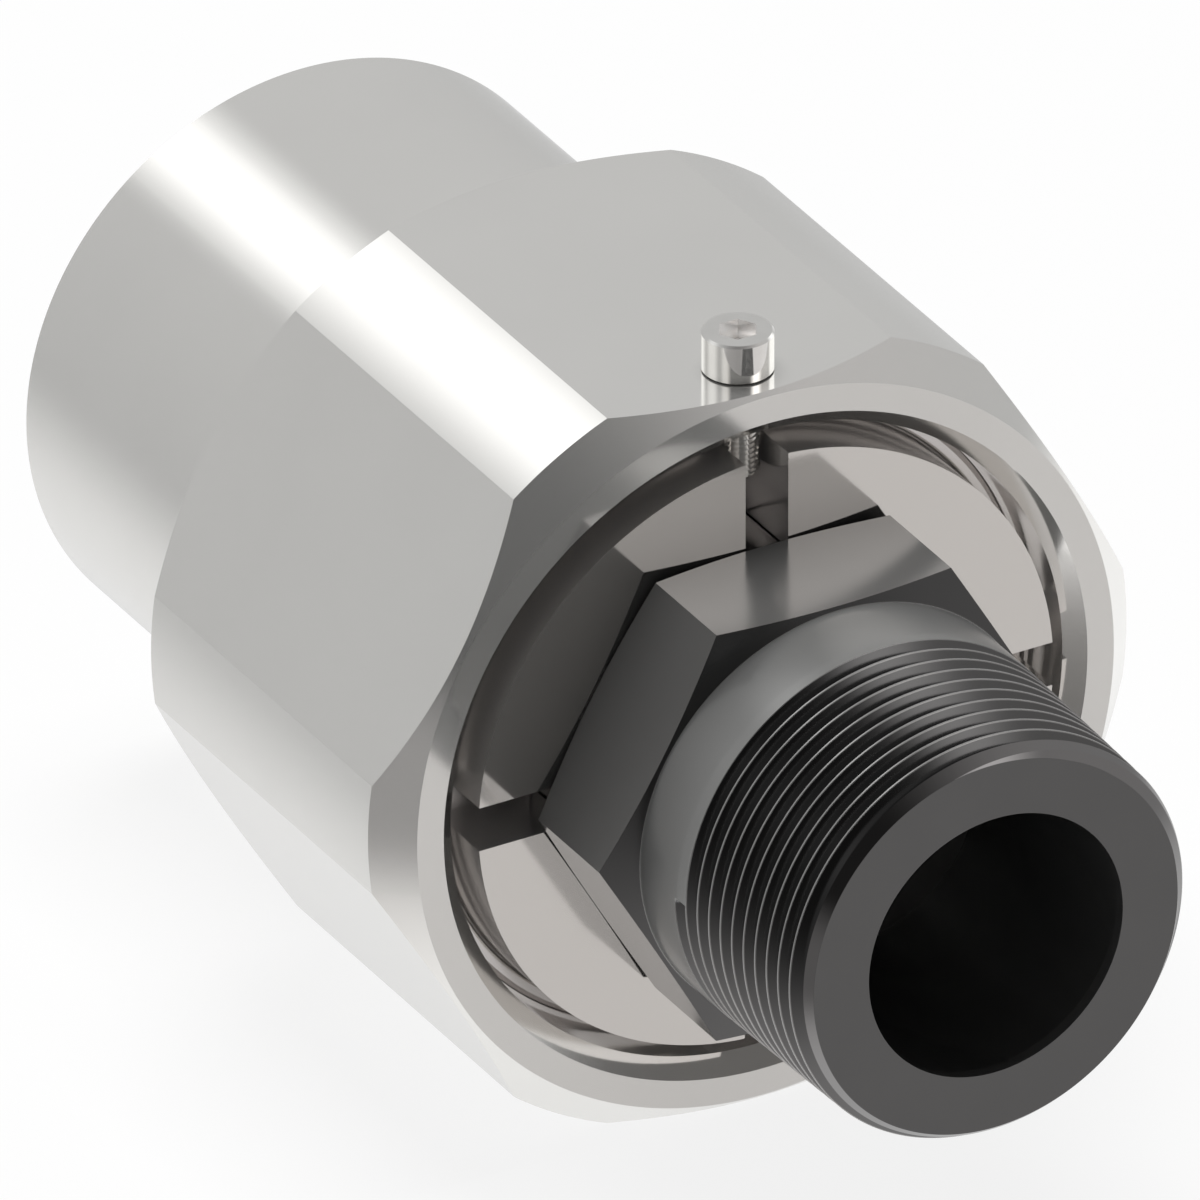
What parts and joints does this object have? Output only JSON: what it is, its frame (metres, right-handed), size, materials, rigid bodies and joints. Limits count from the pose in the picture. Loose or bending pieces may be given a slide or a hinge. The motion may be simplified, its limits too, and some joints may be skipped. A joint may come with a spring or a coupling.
{
  "type": "hydraulic rotary union",
  "caption": "Inline hydraulic rotary union: hexagon housing with a threaded inlet port, slotted bearing retainer with lock screw, and a rotating hollow stem with a tapered male thread.",
  "frame": {"origin": "centre of the inlet port's mouth, on the rotation axis, at the housing's rear face", "axes": "+X along the rotation axis towards the stem's nose, +Z normal to the housing flat that carries the lock screw, +Y completes the right-handed frame"},
  "size_m": [0.1513, 0.0952, 0.0932],
  "materials": {
    "plated_steel": "nickel plated, polished",
    "plated_screw_steel": "zinc plated, bright",
    "black_oxide_steel": "black oxide, oiled, satin",
    "bearing_steel": "ground",
    "spacer_steel": "turned",
    "cage_brass": "machined",
    "seal_rubber": "matte",
    "ring_polymer": "bronze filled fluoropolymer, matte"
  },
  "bodies": {
    "housing": {"housing": "plated_steel", "bearing_retainer": "plated_steel", "lock_screw": "plated_screw_steel", "front_outer_race": "bearing_steel", "rear_outer_race": "bearing_steel", "outer_spacer": "spacer_steel", "dust_wiper": "seal_rubber", "pressure_seal": "seal_rubber", "backup_ring": "ring_polymer", "guide_ring": "ring_polymer", "grease_seal": "seal_rubber"},
    "stem": {"stem": "black_oxide_steel", "front_inner_race": "bearing_steel", "rear_inner_race": "bearing_steel", "inner_spacer": "spacer_steel", "lock_nut": "spacer_steel", "tab_washer": "spacer_steel"},
    "front_ball_set": {"front_cage": "cage_brass", "front_balls": "bearing_steel"},
    "rear_ball_set": {"rear_cage": "cage_brass", "rear_balls": "bearing_steel"}
  },
  "joints": [
    {"name": "stem_spin", "type": "hinge", "parent": "housing", "child": "stem", "pos_m": [0, 0, 0], "axis": [1, 0, 0], "continuous": true},
    {"name": "front_cage_spin", "type": "hinge", "parent": "housing", "child": "front_ball_set", "pos_m": [0.078, 0, 0], "axis": [1, 0, 0], "continuous": true},
    {"name": "rear_cage_spin", "type": "hinge", "parent": "housing", "child": "rear_ball_set", "pos_m": [0.06, 0, 0], "axis": [1, 0, 0], "continuous": true}
  ],
  "couplings": [
    {"joint": "front_cage_spin", "follows": "stem_spin", "ratio": 0.4403},
    {"joint": "rear_cage_spin", "follows": "stem_spin", "ratio": 0.4403}
  ]
}
